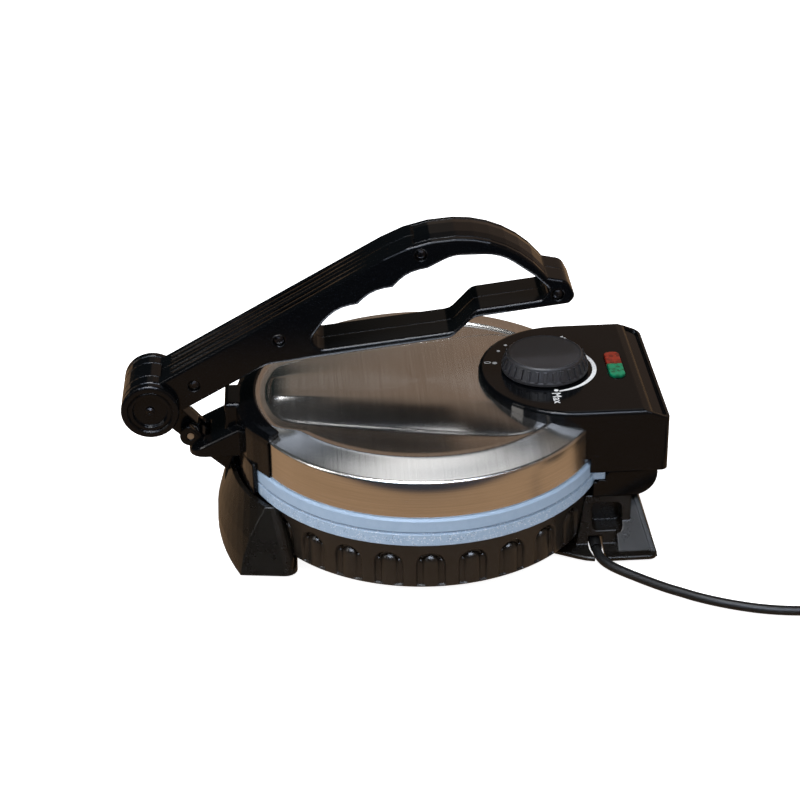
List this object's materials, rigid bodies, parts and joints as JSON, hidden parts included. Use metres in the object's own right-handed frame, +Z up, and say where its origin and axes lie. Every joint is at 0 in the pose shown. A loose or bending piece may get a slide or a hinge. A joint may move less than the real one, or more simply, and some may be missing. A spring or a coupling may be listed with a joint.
{
  "type": "electric roti maker",
  "caption": "Countertop electric press for flatbreads: round hinged heating plates, steel lid, dial and a fold-over press handle with a finger loop.",
  "frame": {"origin": "middle of the floor area that the appliance covers, without its lead", "axes": "+X from the handle's barrel to the dial and the hinge, +Y away from the lead's side, +Z up"},
  "size_m": [0.5669, 0.2908, 0.2176],
  "materials": {
    "glossy_black": "glossy moulded",
    "satin_black": "satin moulded",
    "brushed_steel": "brushed stainless sheet",
    "upper_coating": "smooth non-stick coating",
    "speckled_coating": "speckled non-stick coating",
    "knob_grey": "matte",
    "red_lens": "translucent, faceted",
    "green_lens": "translucent, faceted",
    "zinc": "plated",
    "dark_screw": "blackened",
    "rubber": "matte",
    "cord_rubber": "satin sheath",
    "white_nylon": "heat-resistant moulding"
  },
  "bodies": {
    "base": {"base_bowl": "satin_black", "bottom_cover": "satin_black", "front_stand": "satin_black", "rear_stand": "satin_black", "rubber_foot_1": "rubber", "rubber_foot_2": "rubber", "rubber_foot_3": "rubber", "rubber_foot_4": "rubber", "rear_box": "glossy_black", "hinge_pin_near": "zinc", "hinge_pin_far": "zinc", "lower_plate": "speckled_coating", "heat_shield": "zinc", "terminal_block": "white_nylon", "lower_element": "zinc", "strain_relief": "rubber", "cord": "cord_rubber", "cord_coil": "cord_rubber", "plug": "cord_rubber"},
    "lid": {"upper_plate": "upper_coating", "upper_element": "zinc", "lid_cover": "brushed_steel", "rear_housing": "glossy_black", "red_lens": "red_lens", "green_lens": "green_lens", "lamp_holder": "white_nylon", "front_bracket": "glossy_black", "pivot_pin": "zinc", "claw_spring_near": "zinc", "claw_spring_far": "zinc", "thermostat_body": "zinc"},
    "arm": {"press_arm": "glossy_black", "barrel_pin": "zinc", "barrel_cap_near": "glossy_black", "barrel_cap_far": "glossy_black", "cap_screw_near": "dark_screw", "cap_screw_far": "dark_screw"},
    "handle": {"handle_near": "glossy_black", "handle_far": "glossy_black", "grip_insert": "glossy_black", "handle_screw_1": "dark_screw", "handle_screw_2": "dark_screw", "handle_screw_3": "dark_screw", "handle_screw_4": "dark_screw"},
    "dial": {"control_knob": "knob_grey", "thermostat_shaft": "zinc"}
  },
  "joints": [
    {"name": "lid_hinge", "type": "hinge", "parent": "base", "child": "lid", "pos_m": [0.1808, 0, 0.0645], "axis": [0, 1, 0], "range_deg": [0, 95]},
    {"name": "claw_pivot", "type": "hinge", "parent": "lid", "child": "arm", "pos_m": [-0.1402, 0, 0.073], "axis": [0, -1, 0], "range_deg": [0, 8], "stiffness_Nm_per_rad": 0.5},
    {"name": "handle_fold", "type": "hinge", "parent": "arm", "child": "handle", "pos_m": [-0.1658, 0, 0.0991], "axis": [0, -1, 0], "range_deg": [0, 150]},
    {"name": "knob_turn", "type": "hinge", "parent": "lid", "child": "dial", "pos_m": [0.1078, 0, 0.1069], "axis": [0, 0, -1], "range_deg": [0, 270]}
  ]
}
